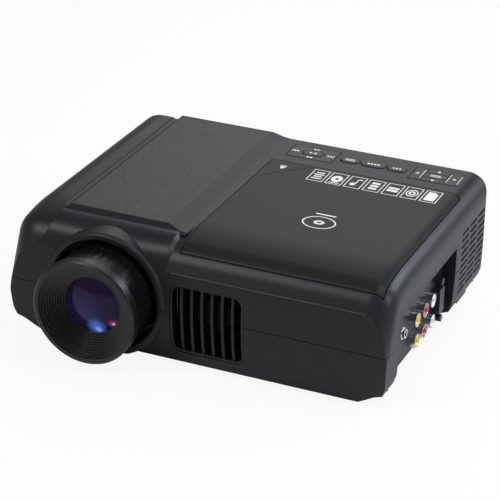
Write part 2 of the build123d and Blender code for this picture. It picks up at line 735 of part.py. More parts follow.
def pickup_sled():
    """Carriage of the optical pickup, with its lens turret and nut arm."""
    reach = rod_spread + 2.5
    part = slab(disc_x - reach, disc_x + reach, sled_y0, sled_y1, rod_z - 4.5, rod_z + 3)
    part = chamfer(part.edges().filter_by(Axis.Z), 3.0)
    part += slab(disc_x - 13, disc_x + 13, sled_y0 + 2, sled_y1 - 4, rod_z + 2.9, rod_z + 5)
    part += slab(disc_x + rod_spread + 2, screw_x + 3, sled_y0 + 8, sled_y1 - 8, rod_z - 3, rod_z + 3)
    part += rod_z_up(disc_x, lens_turret_y, 3.3, rod_z + 4.9, well_floor + 0.6)
    for side in (-1, 1):
        part -= rod_y(disc_x + side * rod_spread, rod_z, rod_radius + fit, sled_y0 - 1, sled_y1 + 1)
    part -= rod_y(screw_x, rod_z, rod_radius + fit, sled_y0 - 1, sled_y1 + 1)
    part -= rod_z_up(disc_x, lens_turret_y, 2.6, well_floor - 0.2, well_floor + 1)
    return part + rod_z_up(disc_x, lens_turret_y, 2.2, well_floor - 0.3, well_floor + 0.4)


def feed_screw():
    return rod_y(screw_x, rod_z, rod_radius, 14.4, post_rear[1])


def feed_motor():
    can = rod_y(screw_x, rod_z, 5.9, -6, post_front[0] - 0.05)
    return chamfer(can.edges().group_by(Axis.Y)[0], 0.6)


# ---- projection optics ----

def lens_barrel():
    """Front rim, stepped light hood and the tube that slides for focus."""
    neck_y = lens_front + rim_length
    seat = glass_radius + fit
    bore = tube_radius - 2.0
    profile = [
        (hood_mouth, lens_front), (rim_radius - 1.2, lens_front), (rim_radius, lens_front + 1.2),
        (rim_radius, neck_y), (tube_radius, neck_y), (tube_radius, tube_rear), (bore, tube_rear),
        (bore, glass_y + 6.0), (seat - 0.9, glass_y + 6.0),
        (seat - 0.9, glass_y + 1.7), (seat, glass_y + 1.7),
    ]
    rise = (hood_mouth - seat) / hood_steps
    run = (glass_y - lens_front - 0.3) / hood_steps
    for i in range(hood_steps):
        y = glass_y - 0.3 - run * i
        profile += [(seat + rise * i, y), (seat + rise * (i + 1), y)]
    return turned_y(profile)


def turned_y(points):
    """Solid of revolution about the lens axis from (radius, y) points."""
    face = make_face(Polyline(*[(r, 0, y) for r, y in points], close=True))
    return Pos(lens_x, 0, lens_z) * Rot(-90, 0, 0) * revolve(face, axis=Axis.Z)


def lens_disc(radius, y_front, bulge_front, y_rear, bulge_rear):
    """Glass element with two spherical faces."""
    part = rod_y(lens_x, lens_z, radius, y_front - bulge_front, y_rear + bulge_rear)
    for y, bulge, side in ((y_front - bulge_front, bulge_front, 1), (y_rear + bulge_rear, bulge_rear, -1)):
        reach = (radius ** 2 + bulge ** 2) / (2 * bulge)
        part = part & Pos(lens_x, y + side * reach, lens_z) * Sphere(reach)
    return part


def focus_ring():
    """Knurled ring that runs on the lens mount."""
    part = rod_y(lens_x, lens_z, ring_radius, ring_front, ring_rear)
    part -= rod_y(lens_x, lens_z, ring_bore, ring_front - 1, ring_rear + 1)
    for i in range(knurl_count):
        angle = 360 / knurl_count * i
        groove = Pos(0, 0, ring_radius + 0.3) * Rot(90, 0, 0) * Box(1.5, 1.7, 14)
        part -= Pos(lens_x, (ring_front + ring_rear) / 2 - 2, lens_z) * Rot(0, angle, 0) * groove
    return part


def lens_mount():
    """Fixed tube that carries the ring outside and the barrel inside, with its flange."""
    flange_y = lens_plate_y - lens_plate_sheet
    part = rod_y(lens_x, lens_z, ring_bore - fit, ring_front + 2, lens_plate_y)
    part += rod_y(lens_x, lens_z, ring_bore + 5, flange_y, lens_plate_y)
    return part - rod_y(lens_x, lens_z, tube_radius + fit, ring_front - 5, lens_plate_y + 1)


def lens_plate():
    """Upright plate behind the lens mount."""
    plate = slab(lens_x - 39.8, lens_x + 39.7, lens_plate_y, lens_plate_y + lens_plate_sheet, 5.8, 71)
    plate -= rod_y(lens_x, lens_z, tube_radius, lens_plate_y - 1, lens_plate_y + lens_plate_sheet + 1)
    return plate


def engine_room(margin, y0, y1):
    """Block inside the outline of the engine frame, drawn in by margin."""
    x = engine_w / 2 - margin
    return slab(lens_x - x, lens_x + x, y0, y1, engine_z0 + margin, engine_z0 + engine_h - margin)


def engine_frame():
    """Holder of the image panel and the field lens."""
    frame = engine_room(0, engine_y0, engine_y1) - engine_room(5, engine_y0 - 1, engine_y1 + 1)
    for y, sheet in engine_slots:
        frame -= engine_room(2.9, y - 0.1, y + sheet + 0.1)
    return frame


def engine_sheet(index):
    y, sheet = engine_slots[index]
    return engine_room(3, y, y + sheet)


def light_box():
    """Folded sheet duct round the lamp, open towards the image panel and slotted behind."""
    x0, x1 = lens_x - box_w / 2, lens_x + box_w / 2
    part = slab(x0, x1, box_y0, box_y1, box_z0, box_z0 + box_h)
    part -= slab(x0 + box_sheet, x1 - box_sheet, box_y0 - 1, box_y1 - box_sheet, box_z0 + box_sheet,
                 box_z0 + box_h - box_sheet)
    for i in range(7):
        x = x0 + 9 + 9 * i
        part -= slab(x, x + 4.5, box_y1 - 3, box_y1 + 1, box_z0 + 8, box_z0 + box_h - 8)
    door_y0, door_y1 = lamp_door_box[2:]
    part -= slab(x0 + 6, x1 - 6, door_y0 + 2, door_y1 - 2, box_z0 - 1, box_z0 + 3)
    plate = slab(x0, x1, 6, 8, box_z0, box_z0 + box_h) - rod_y(lens_x, lens_z, condenser_radius + fit, 0, 10)
    return part + plate


def reflector():
    """Bowl of the lamp."""
    outside = [(lamp_neck, 62), (9, 62), (17, 52), (24, 38), (27, 30), (29, 30)]
    inside = [(29, 28), (25.5, 28), (22.6, 37), (15.8, 50.4), (lamp_neck, 60.4)]
    return turned_y(outside + inside)


def lamp():
    """Bulb in a ceramic base, with a bracket that stands on the duct's floor."""
    bulb = [(0, 34), (2.2, 34.6), (4.2, 37), (5.2, 41), (4.8, 46), (3.6, 50), (3.6, 63.9), (0, 63.9)]
    floor = box_z0 + box_sheet
    foot = slab(lens_x - 16, lens_x + 16, 66, 69, floor, lens_z)
    ledge = slab(lens_x - 34, lens_x + 34, 66, 69, floor, floor + 6.8)
    return turned_y(bulb) + rod_y(lens_x, lens_z, 9.5, 62.02, 74) + foot + ledge


# ---- grille, fan and boards ----

def grille_block(grow):
    """Block through the front wall over the grille's outline, grown by grow."""
    return front_panel(grille_x0 - grow, grille_x1 + grow, grille_z0 - grow, grille_z1 + grow,
                       grille_corner + grow, -80, -55)


def front_grille():
    """Bezel and curved louvres that follow the bulge of the front wall."""
    def between(near, far):
        front = extrude(side_face(near), amount=half, both=True)
        back = extrude(side_face(far), amount=half, both=True)
        return (front - back) & slab(-half, half, -90, -55, 0, 70)
    edge = 0.25
    ring = grille_block(-edge)
    inner = grille_block(-edge - grille_rim)
    part = (ring - inner) & between(0.4, louvre_setback + louvre_depth)
    part += (grille_block(1.8) - inner) & between(wall + 0.02, wall + 1.4)
    bars = between(louvre_setback, louvre_setback + louvre_depth)
    span = grille_x1 - grille_x0 - 2 * edge - 2 * grille_rim
    pitch = (span + louvre_thickness) / (louvre_count + 1)
    for i in range(louvre_count):
        x = grille_x0 + edge + grille_rim + pitch * (i + 1) - louvre_thickness
        bar = slab(x, x + louvre_thickness, -90, -55, grille_z0 + edge + 0.5, grille_z1 - edge - 0.5)
        part += bar & bars & ring
    return part


def fan_frame():
    x = (grille_x0 + grille_x1) / 2
    z = (grille_z0 + grille_z1) / 2
    reach = fan_size / 2
    part = front_panel(x - reach, x + reach, z - reach, z + reach, 3, fan_y, fan_y + fan_depth)
    part -= rod_y(x, z, fan_size / 2 - 1.2, fan_y - 1, fan_y + fan_depth - 1.5)
    part -= rod_y(x, z, fan_size / 2 - 1.2, fan_y, fan_y + fan_depth + 1)
    arms = rod_y(x, z, 11, fan_y + fan_depth - 1.6, fan_y + fan_depth)
    for i in range(3):
        arm = Pos(0, 0, fan_size / 4) * Box(3, 1.6, fan_size / 2 - 1)
        arms += Pos(x, fan_y + fan_depth - 0.8, z) * Rot(0, 60 + 120 * i, 0) * arm
    part += arms
    part += rod_y(x, z, 1.2, fan_y + 3, fan_y + fan_depth - 1.5)
    return part


def fan_rotor():
    """Hub with swept blades, running on the frame's shaft."""
    x = (grille_x0 + grille_x1) / 2
    z = (grille_z0 + grille_z1) / 2
    hub = rod_y(x, z, 10.5, fan_y + 0.8, fan_y + fan_depth - 2.2)
    hub = fillet(hub.edges().group_by(Axis.Y)[0], 1.5)
    for i in range(blade_count):
        blade = Pos(0, 0, 16.4) * Rot(0, 0, 38) * Box(9.5, 1.1, 13.6)
        hub += Pos(x, fan_y + 5.2, z) * Rot(0, 360 / blade_count * i, 0) * blade
    return hub - rod_y(x, z, 1.2 + fit, fan_y + 2.5, fan_y + fan_depth)


def main_board():
    part = slab(main_left, pcb_right, -46, 18, pcb_z, pcb_z + pcb_sheet)
    top = pcb_z + pcb_sheet
    chips = ((42, -20, 22, 22, 1.8), (74, -24, 16, 16, 1.6), (20, -10, 14, 10, 2.6), (96, -4, 10, 18, 6))
    for dx, y, w, d, h in chips:
        x = main_left + dx
        part += slab(x - w / 2, x + w / 2, y - d / 2, y + d / 2, top - 0.1, top + h)
    return part


def power_board():
    x0 = power_left
    part = slab(x0, pcb_right, 28, 97, pcb_z, pcb_z + pcb_sheet)
    top = pcb_z + pcb_sheet
    part += slab(x0 + 14, x0 + 36, 46, 66, top - 0.1, top + 18)
    for dx, y, radius, h in ((50, 44, 8, 24), (70, 44, 5, 16), (84, 40, 5, 16)):
        part += rod_z_up(x0 + dx, y, radius, top - 0.1, top + h)
    part += slab(x0 + 48, x0 + 78, 62, 65, top - 0.1, top + 22)
    return part


def av_board():
    return slab(av_x, av_x + av_sheet, -50, 40, av_z0, 50)


# ---- connector bay ----


def av_panel():
    """Recessed panel of the connector bay, open below, its top sloping out to the side wall."""
    top = bay_top + bay_panel
    block = slab(bay_floor - bay_panel, half + 1, bay_y0 - bay_panel, bay_y1 + bay_panel, 0, top) & outer
    pocket = [(bay_floor, -1), (bay_floor, bay_top - bay_slope), (half + 2, bay_top + 2.8), (half + 2, -1)]
    face = make_face(Plane.XZ * Polyline(*pocket, close=True))
    block -= extrude(face, amount=bay_y1 - bay_y0, dir=(0, 1, 0)).moved(Location((0, bay_y0, 0)))
    for y, z in rca_spots:
        block -= rod_x(y, z, rca_radius + 0.15, bay_floor - 5, bay_floor + 2)
    block -= rod_x(*phone_spot, 3.15, bay_floor - 5, bay_floor + 2)
    y, z = data_spot
    block -= slab(bay_floor - 5, bay_floor + 2, y - 4.6, y + 4.6, z - 8.8, z + 8.8)
    for side in (-1, 1):
        block -= rod_x(y, z + side * data_nuts, 1.7, bay_floor - 5, bay_floor + 2)
    return block


def rca_shell(y, z):
    """Metal sleeve and black housing foot of one phono jack."""
    tube = rod_x(y, z, rca_radius, av_x + av_sheet, rca_face)
    tube -= rod_x(y, z, rca_radius - 0.55, rca_face - 6.2, rca_face + 1)
    return tube


def rca_insert(y, z):
    """Coloured ring in the mouth of a phono jack."""
    ring = rod_x(y, z, rca_radius - 0.6, rca_face - 6.1, rca_face - 0.5)
    return ring - rod_x(y, z, 1.7, rca_face - 6.2, rca_face)


def phone_jack():
    """Chrome nut and barrel of the earphone socket."""
    y, z = phone_spot
    part = rod_x(y, z, 3.0, av_x + av_sheet, bay_floor + 3.5)
    part += rod_x(y, z, 3.9, bay_floor + 0.1, bay_floor + 1.9)
    return part - rod_x(y, z, 1.8, bay_floor - 6, bay_floor + 5)


def data_port():
    """Upright 15-way socket with the two hexagon posts beside it, on one foot."""
    y, z = data_spot
    shell = slab(av_x + av_sheet, bay_floor + 4.5, y - 4.4, y + 4.4, z - 8.4, z + 8.4)
    part = fillet(shell.edges().filter_by(Axis.X), 1.6)
    part += slab(av_x + av_sheet, av_x + av_sheet + 3, y - 4.4, y + 4.4, av_z0 + clear, z + 15.5)
    for side in (-1, 1):
        nut = extrude(RegularPolygon(2.7, 6), amount=4.5)
        post = Pos(bay_floor + 0.05, y, z + side * data_nuts) * Rot(0, 90, 0) * nut
        part += post + rod_x(y, z + side * data_nuts, 1.4, av_x + av_sheet + 0.7, bay_floor + 1)
    return part


# ---- keys ----

def key_cap(x0, x1, y0, y1, flange):
    """Flat key with a stem for its switch. The flange lists how far its foot runs out on each side."""
    cap = slab(x0, x1, y0, y1, deck_z - wall - 1.2, deck_z + 0.2)
    cap = chamfer(cap.edges().group_by(Axis.Z)[-1], 0.25)
    left, right, front, rear = flange
    foot = slab(x0 - left, x1 + right, y0 - front, y1 + rear, deck_z - wall - 1.2, deck_z - wall - 0.1)
    return cap + foot + rod_z_up((x0 + x1) / 2, (y0 + y1) / 2, 1.5, stem_z, deck_z - wall - 1.1)


def oval_key(index):
    length = middle_oval_length if index == 1 else oval_length
    x = oval_xs[index]
    cap = oval(x, oval_y, length, oval_width, deck_z - wall - 1.2, deck_z + 0.5)
    cap = fillet(cap.edges().group_by(Axis.Z)[-1], 0.6)
    cap += oval(x, oval_y, length + 0.9, oval_width + 2.2, deck_z - wall - 1.2, deck_z - wall - 0.1)
    return cap + rod_z_up(x, oval_y, 1.5, stem_z, deck_z - wall - 1.1)


def menu_keys():
    """Five keys of the right pad, by name."""
    x0, x1 = right_pad_x0, right_pad_x1
    xm0, xm1 = x0 + pad_side, x1 - pad_side
    g = pad_line
    f = 1.1
    return {
        "menu_left_key": key_cap(x0, xm0 - g, pad_y0, pad_y1, (f, 0, f, f)),
        "menu_right_key": key_cap(xm1 + g, x1, pad_y0, pad_y1, (0, f, f, f)),
        "menu_down_key": key_cap(xm0, xm1, pad_y0, pad_y0 + pad_row - g, (0, 0, f, 0)),
        "menu_centre_key": key_cap(xm0, xm1, pad_y0 + pad_row, pad_y1 - pad_row, (0, 0, 0, 0)),
        "menu_up_key": key_cap(xm0, xm1, pad_y1 - pad_row + g, pad_y1, (0, 0, 0, f)),
    }


def transport_pad():
    """Rocking plate of the left pad, with a hole for the centre key and two pivots below."""
    plate = slab(left_pad_x0, left_pad_x1, pad_y0, pad_y1, ring_z1 + 0.9, deck_z + 0.2)
    plate = chamfer(plate.edges().group_by(Axis.Z)[-1], 0.3)
    plate -= oval(pad_x, pad_y, pad_centre_length + 1.0, pad_centre_width + 1.0, 60, 90)
    for side in (-1, 1):
        y = pad_y + side * pad_pivot_y
        plate += slab(pad_x - pivot_radius, pad_x + pivot_radius, y - 1.1, y + 1.1, pad_axis_z, ring_z1 + 1.0)
        plate += rod_y(pad_x, pad_axis_z, pivot_radius, y - 1.1, y + 1.1)
    return plate


def transport_gimbal():
    """Ring between the pad's pivots and the board's."""
    ring = oval(pad_x, pad_y, 22.0, 14.6, ring_z0, ring_z1)
    ring -= oval(pad_x, pad_y, 18.4, 9.6, ring_z0 - 1, ring_z1 + 1)
    for side in (-1, 1):
        y = pad_y + side * pad_pivot_y
        ring += slab(pad_x - 1.5, pad_x + 1.5, y - 1.2, y + 1.2, ring_z1 - 0.1, pad_axis_z)
        ring -= rod_y(pad_x, pad_axis_z, pivot_radius + fit, y - 1.3, y + 1.3)
        x = pad_x + side * gimbal_pivot_x
        y0, y1 = pad_y - pivot_radius, pad_y + pivot_radius
        ring += slab(x - 0.9, x + 0.9, y0, y1, gimbal_axis_z, ring_z0 + 0.1)
        ring += rod_x(pad_y, gimbal_axis_z, pivot_radius, x - 0.9, x + 0.9)
    return ring


def play_key():
    cap = oval(pad_x, pad_y, pad_centre_length, pad_centre_width, ring_z0 + 1.0, deck_z + 0.5)
    cap = fillet(cap.edges().group_by(Axis.Z)[-1], 0.5)
    return cap + rod_z_up(pad_x, pad_y, 1.5, stem_z, ring_z0 + 1.1)


def switch_spots():
    """Centres of the switches under the keys that press."""
    x0, x1 = right_pad_x0, right_pad_x1
    xm = (x0 + x1) / 2
    ym = (pad_y0 + pad_y1) / 2
    spots = [(x, oval_y) for x in oval_xs] + [(pad_x, pad_y)]
    spots += [(x0 + (pad_side - pad_line) / 2, ym), (x1 - (pad_side - pad_line) / 2, ym)]
    spots += [(xm, pad_y0 + (pad_row - pad_line) / 2), (xm, ym), (xm, pad_y1 - (pad_row - pad_line) / 2)]
    return spots


def key_board():
    """Printed board under the keys, with the two pivots of the rocking pad."""
    part = slab(board_left, board_right, 73.5, 100.6, board_z, board_z + board_sheet)
    for side in (-1, 1):
        x = pad_x + side * gimbal_pivot_x
        part += rod_z_up(x, pad_y, 1.5, board_z + board_sheet - 0.1, gimbal_axis_z)
        part -= rod_x(pad_y, gimbal_axis_z, pivot_radius + fit, x - 2, x + 2)
    for x, y in switch_spots():
        part += rod_z_up(x, y, 2.2, board_z + board_sheet - 0.1, board_z + board_sheet + 0.15)
    return part


# ---- rear, underside and small parts ----

def power_inlet():
    """Mains module: two-pin inlet and the frame of the rocker switch on one foot."""
    x0, x1, z0, z1 = inlet_box
    xm, zm = (x0 + x1) / 2, (z0 + z1) / 2
    rear = case_rear - 0.1
    part = slab(x0, x1, rear - socket_depth - 2, rear, z0, z1)
    face = Plane.XZ * Pos(xm, zm) * SlotOverall(15.0, 8.6)
    part -= extrude(face, amount=socket_depth, dir=(0, 1, 0)).moved(Location((0, rear - 11, 0)))
    for side in (-1, 1):
        part += rod_y(xm + side * 3.6, zm, 1.2, rear - 11.1, rear - 2)
    x0, x1, z0, z1 = switch_box
    frame = slab(x0, x1, rear - socket_depth, rear, z0, z1)
    frame -= slab(x0 + 1.5, x1 - 1.5, rear - 9, rear + 1, z0 + 1.2, z1 - 1.2)
    frame -= rod_x(rocker_y, (z0 + z1) / 2, 0.85, x0 + 0.4, x1 - 0.4)
    return part + frame + slab(x1 - 1, inlet_box[0] + 1, rear - socket_depth, rear - 6, z0 + 2, z1 - 2)


def power_rocker():
    """Rocker of the mains switch with its pivot pins, shown at its off end."""
    x0, x1, z0, z1 = switch_box
    zm = (z0 + z1) / 2
    body = slab(x0 + 1.9, x1 - 1.9, rocker_y - 2.2, rocker_y + 3.2, zm - 4.9, zm + 4.9)
    body = body.rotate(Axis((x0, rocker_y, zm), (1, 0, 0)), -rocker_tilt)
    return body + rod_x(rocker_y, zm, 0.8, x0 + 0.7, x1 - 0.7)


def speaker():
    """Small round loudspeaker behind the slits of the right wall."""
    rim = half - 3.5
    part = rod_x(speaker_y, speaker_z, speaker_radius - fit, rim - 4.8, rim)
    part += rod_x(speaker_y, speaker_z, 9.0, rim - 12, rim - 4.7)
    cone = Pos(rim - 1.4, speaker_y, speaker_z) * Rot(0, 90, 0) * Cone(6, 13, 3.2)
    return part - cone


def rubber_feet():
    feet = []
    for x, y in foot_places:
        foot = rod_z_up(x, y, foot_radius, 0, belly_z)
        feet.append(chamfer(foot.edges().group_by(Axis.Z)[0], 0.7))
    return feet


def case_screws():
    screws = []
    for x, y in boss_places:
        screws.append(rod_z_up(x, y, screw_head, screw_seat - 2.2, screw_seat - 0.02)
                      + rod_z_up(x, y, screw_radius - 0.02, screw_seat - 0.1, boss_top - 9))
    return screws


def lamp_door():
    """Service cover of the underside, flush with the belly."""
    x0, x1, y0, y1 = lamp_door_box
    door = slab(x0 + 0.25, x1 - 0.25, y0 + 0.25, y1 - 0.25, belly_z, belly_z + wall)
    for i in range(6):
        y = y0 + 14 + 6 * i
        door -= slab(x0 + 14, x1 - 14, y, y + 2.4, 0, 10)
    return door


def write(name, shape):
    """Saves one node. A list becomes one compound of separate solids."""
    if isinstance(shape, (list, tuple)):
        shape = Compound(children=[s if isinstance(s, Solid) else s.solids()[0] for s in shape])
    export_step(shape, f"parts/{name}.step")


shell = raw_shell() - rear_cuts()
write("upper_case", upper_case(shell))
write("lower_case", lower_case(shell))
write("top_panel", panel_solid())
write("front_grille", front_grille())
write("lid", lid())
write("lid_hinge_pins", hinge_pins())
write("open_button", open_button())
write("lid_latch", lid_latch())
write("disc_deck", disc_deck())
write("drive_chassis", chassis())
write("drive_grommets", grommets())
write("spindle_motor", spindle_motor())
write("turntable", turntable())
write("sled_rods", sled_rods())
write("pickup_sled", pickup_sled())
write("feed_screw", feed_screw())
write("feed_motor", feed_motor())
write("lens_barrel", lens_barrel())
write("front_lens", lens_disc(glass_radius, glass_y, 4.2, glass_y + 1.5, 0.6))
write("rear_lens", lens_disc(tube_radius - 2.05, -66.0, 2.0, -62.0, 2.0))
write("focus_ring", focus_ring())
write("lens_mount", lens_mount())
write("lens_plate", lens_plate())
write("engine_frame", engine_frame())
write("image_panel", engine_sheet(0))
write("field_lens", engine_sheet(1))
write("light_box", light_box())
write("condenser_lens", lens_disc(condenser_radius, 5.5, 5.0, 8.5, 1.5))
write("lamp_reflector", reflector())
write("lamp", lamp())
write("fan_frame", fan_frame())
write("fan_rotor", fan_rotor())
write("main_board", main_board())
write("power_board", power_board())
write("av_board", av_board())
write("av_panel", av_panel())
write("phono_sleeves", [rca_shell(y, z) for y, z in rca_spots])
for column, colour in enumerate(("yellow", "red", "white")):
    write(f"phono_rings_{colour}", [rca_insert(*rca_spots[column]), rca_insert(*rca_spots[column + 3])])
write("earphone_jack", phone_jack())
write("data_port", data_port())
for name, key in menu_keys().items():
    write(name, key)
for index in range(3):
    write(f"oval_key_{index + 1}", oval_key(index))
write("transport_pad", transport_pad())
write("transport_gimbal", transport_gimbal())
write("play_key", play_key())
write("key_board", key_board())
write("power_inlet", power_inlet())
write("speaker", speaker())
write("power_rocker", power_rocker())
write("rubber_feet", rubber_feet())
write("case_screws", case_screws())
write("lamp_door", lamp_door())
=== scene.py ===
import math

import bmesh
import bpy
from mathutils import Matrix, Vector


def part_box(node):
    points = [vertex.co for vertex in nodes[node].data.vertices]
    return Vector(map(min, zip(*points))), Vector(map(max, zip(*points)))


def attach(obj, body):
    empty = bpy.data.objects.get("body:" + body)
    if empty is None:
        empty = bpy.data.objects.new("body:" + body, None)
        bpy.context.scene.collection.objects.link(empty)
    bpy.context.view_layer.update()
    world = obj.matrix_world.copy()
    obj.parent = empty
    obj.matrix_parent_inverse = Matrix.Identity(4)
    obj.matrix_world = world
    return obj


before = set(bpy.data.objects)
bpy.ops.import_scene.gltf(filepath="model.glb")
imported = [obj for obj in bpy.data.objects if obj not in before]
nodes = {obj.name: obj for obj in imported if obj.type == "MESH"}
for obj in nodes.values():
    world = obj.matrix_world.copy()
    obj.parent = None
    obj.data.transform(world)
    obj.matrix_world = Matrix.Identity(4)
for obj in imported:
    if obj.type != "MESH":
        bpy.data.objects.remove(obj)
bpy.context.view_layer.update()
mm = 0.001
print("frame loaded:", len(nodes), "nodes")


def addNode(tree, kind, **inputs):
    node = tree.nodes.new(kind)
    for key, value in inputs.items():
        node.inputs[key.replace("_", " ")].default_value = value
    return node


def objectPoint(tree, offset=(0, 0, 0)):
    # object coordinates, moved by a Mapping node
    coords = addNode(tree, "ShaderNodeTexCoord")
    mapping = addNode(tree, "ShaderNodeMapping", Location=offset)
    tree.links.new(coords.outputs["Object"], mapping.inputs["Vector"])
    return mapping.outputs["Vector"]


grain = {"detail": 2.0, "rough": 0.6, "speckFrom": 0.45, "speckTo": 0.65, "bevelSamples": 4}


def makeFinish(name, look):
    # one procedural finish: base colour and fine grain, with specks or softened edges where the look has them
    mat = bpy.data.materials.new(name)
    mat.use_nodes = True
    tree = mat.node_tree
    shader = tree.nodes["Principled BSDF"]
    shader.inputs["Base Color"].default_value = (*look["colour"], 1)
    shader.inputs["Roughness"].default_value = look["rough"]
    shader.inputs["Metallic"].default_value = look.get("metal", 0)
    shader.inputs["Specular IOR Level"].default_value = look.get("specular", 0.5)
    shader.inputs["Transmission Weight"].default_value = look.get("clear", 0)
    point = objectPoint(tree)
    noise = addNode(tree, "ShaderNodeTexNoise", Scale=look["grainScale"], Detail=grain["detail"],
                    Roughness=grain["rough"])
    tree.links.new(point, noise.inputs["Vector"])
    bump = addNode(tree, "ShaderNodeBump", Strength=look["grainStrength"], Distance=look["grainDepth"])
    tree.links.new(noise.outputs["Fac"], bump.inputs["Height"])
    if look.get("edge", 0) > 0:
        soft = tree.nodes.new("ShaderNodeBevel")
        soft.samples = grain["bevelSamples"]
        soft.inputs["Radius"].default_value = look["edge"]
        tree.links.new(soft.outputs["Normal"], bump.inputs["Normal"])
    tree.links.new(bump.outputs["Normal"], shader.inputs["Normal"])
    if "speck" in look:
        mix = tree.nodes.new("ShaderNodeMix")
        mix.data_type = "RGBA"
        mix.inputs["A"].default_value = (*look["colour"], 1)
        mix.inputs["B"].default_value = (*look["speck"], 1)
        ramp = tree.nodes.new("ShaderNodeMapRange")
        ramp.inputs["From Min"].default_value = grain["speckFrom"]
        ramp.inputs["From Max"].default_value = grain["speckTo"]
        tree.links.new(noise.outputs["Fac"], ramp.inputs["Value"])
        tree.links.new(ramp.outputs["Result"], mix.inputs["Factor"])
        tree.links.new(mix.outputs["Result"], shader.inputs["Base Color"])
    return mat


looks = {
    "caseBlack": dict(
        colour=(0.009, 0.0095, 0.012), rough=0.4, specular=0.27, grainScale=2600,
        grainStrength=0.35, grainDepth=0.00006, edge=0.0006, speck=(0.015, 0.0155, 0.019),
    ),
    "lidBlack": dict(
        colour=(0.009, 0.009, 0.010), rough=0.45, specular=0.2, grainScale=3200,
        grainStrength=0.2, grainDepth=0.00004, edge=0.0005, speck=(0.013, 0.013, 0.014),
    ),
    "panelGrain": dict(
        colour=(0.014, 0.014, 0.0145), rough=0.5, specular=0.4, grainScale=1500,
        grainStrength=0.6, grainDepth=0.00016, edge=0.0003, speck=(0.06, 0.06, 0.061),
    ),
    "keyBlack": dict(
        colour=(0.010, 0.010, 0.008), rough=0.4, specular=0.35, grainScale=2400,
        grainStrength=0.15, grainDepth=0.00004, edge=0.0003,
    ),
    "grilleBlack": dict(
        colour=(0.008, 0.008, 0.010), rough=0.42, specular=0.32, grainScale=2400,
        grainStrength=0.2, grainDepth=0.00004, edge=0.0005,
    ),
    "innerBlack": dict(
        colour=(0.006, 0.006, 0.0065), rough=0.6, specular=0.25, grainScale=1800,
        grainStrength=0.2, grainDepth=0.00004, edge=0.0002,
    ),
    "hoodBlack": dict(
        colour=(0.007, 0.007, 0.0085), rough=0.36, specular=0.4, grainScale=3000,
        grainStrength=0.12, grainDepth=0.00003, edge=0.0003,
    ),
    "ringBlack": dict(
        colour=(0.005, 0.005, 0.006), rough=0.3, specular=0.22, grainScale=2500,
        grainStrength=0.1, grainDepth=0.00003, edge=0.0004,
    ),
    "sheetSteel": dict(
        colour=(0.5, 0.51, 0.53), rough=0.35, metal=1, grainScale=900, grainStrength=0.1,
        grainDepth=0.00004,
    ),
    "castAlloy": dict(
        colour=(0.62, 0.62, 0.64), rough=0.4, metal=1, grainScale=1200, grainStrength=0.15,
        grainDepth=0.00005,
    ),
    "plateChrome": dict(
        colour=(0.78, 0.78, 0.8), rough=0.12, metal=1, grainScale=800, grainStrength=0.03,
        grainDepth=0.00002, edge=0.0002,
    ),
    "boardGreen": dict(
        colour=(0.02, 0.12, 0.05), rough=0.4, grainScale=500, grainStrength=0.1,
        grainDepth=0.00003, speck=(0.03, 0.16, 0.07),
    ),
    # painted highlight: a grey lighter than the case, used only by the crease rod
    "paintedHighlightGrey": dict(
        colour=(0.045, 0.045, 0.05), rough=0.4, grainScale=2600, grainStrength=0.1,
        grainDepth=0.00003,
    ),
    "portDark": dict(
        colour=(0.012, 0.013, 0.018), rough=0.35, grainScale=1500, grainStrength=0.1,
        grainDepth=0.00003, edge=0.0002,
    ),
    "footRubber": dict(
        colour=(0.018, 0.018, 0.018), rough=0.8, grainScale=1500, grainStrength=0.4,
        grainDepth=0.00008,
    ),
    "jackYellow": dict(
        colour=(0.85, 0.62, 0.01), rough=0.3, grainScale=900, grainStrength=0.04,
        grainDepth=0.00002,
    ),
    "jackRed": dict(
        colour=(0.62, 0.02, 0.02), rough=0.3, grainScale=900, grainStrength=0.04,
        grainDepth=0.00002,
    ),
    "jackWhite": dict(
        colour=(0.85, 0.85, 0.83), rough=0.3, grainScale=900, grainStrength=0.04,
        grainDepth=0.00002,
    ),
    "greyNylon": dict(
        colour=(0.4, 0.4, 0.4), rough=0.5, grainScale=1400, grainStrength=0.1,
        grainDepth=0.00003,
    ),
    "ceramicCream": dict(
        colour=(0.75, 0.73, 0.68), rough=0.45, grainScale=1400, grainStrength=0.1,
        grainDepth=0.00003,
    ),
    "screwZinc": dict(
        colour=(0.22, 0.22, 0.24), rough=0.35, metal=1, grainScale=1200, grainStrength=0.1,
        grainDepth=0.00002,
    ),
    "opticGlass": dict(
        colour=(0.9, 0.93, 0.95), rough=0.03, clear=0.9, grainScale=500, grainStrength=0.01,
        grainDepth=0.00001,
    ),
    # white of the printed legends; the lines beside the menu keys use it too, as painted highlights
    "legendAndHighlightWhite": dict(
        colour=(0.8, 0.8, 0.78), rough=0.5, grainScale=3000, grainStrength=0.1,
        grainDepth=0.00002,
    ),
    "legendCream": dict(
        colour=(0.72, 0.74, 0.55), rough=0.5, grainScale=3000, grainStrength=0.1,
        grainDepth=0.00002,
    ),
}
finishes = {name: makeFinish(name, look) for name, look in looks.items()}


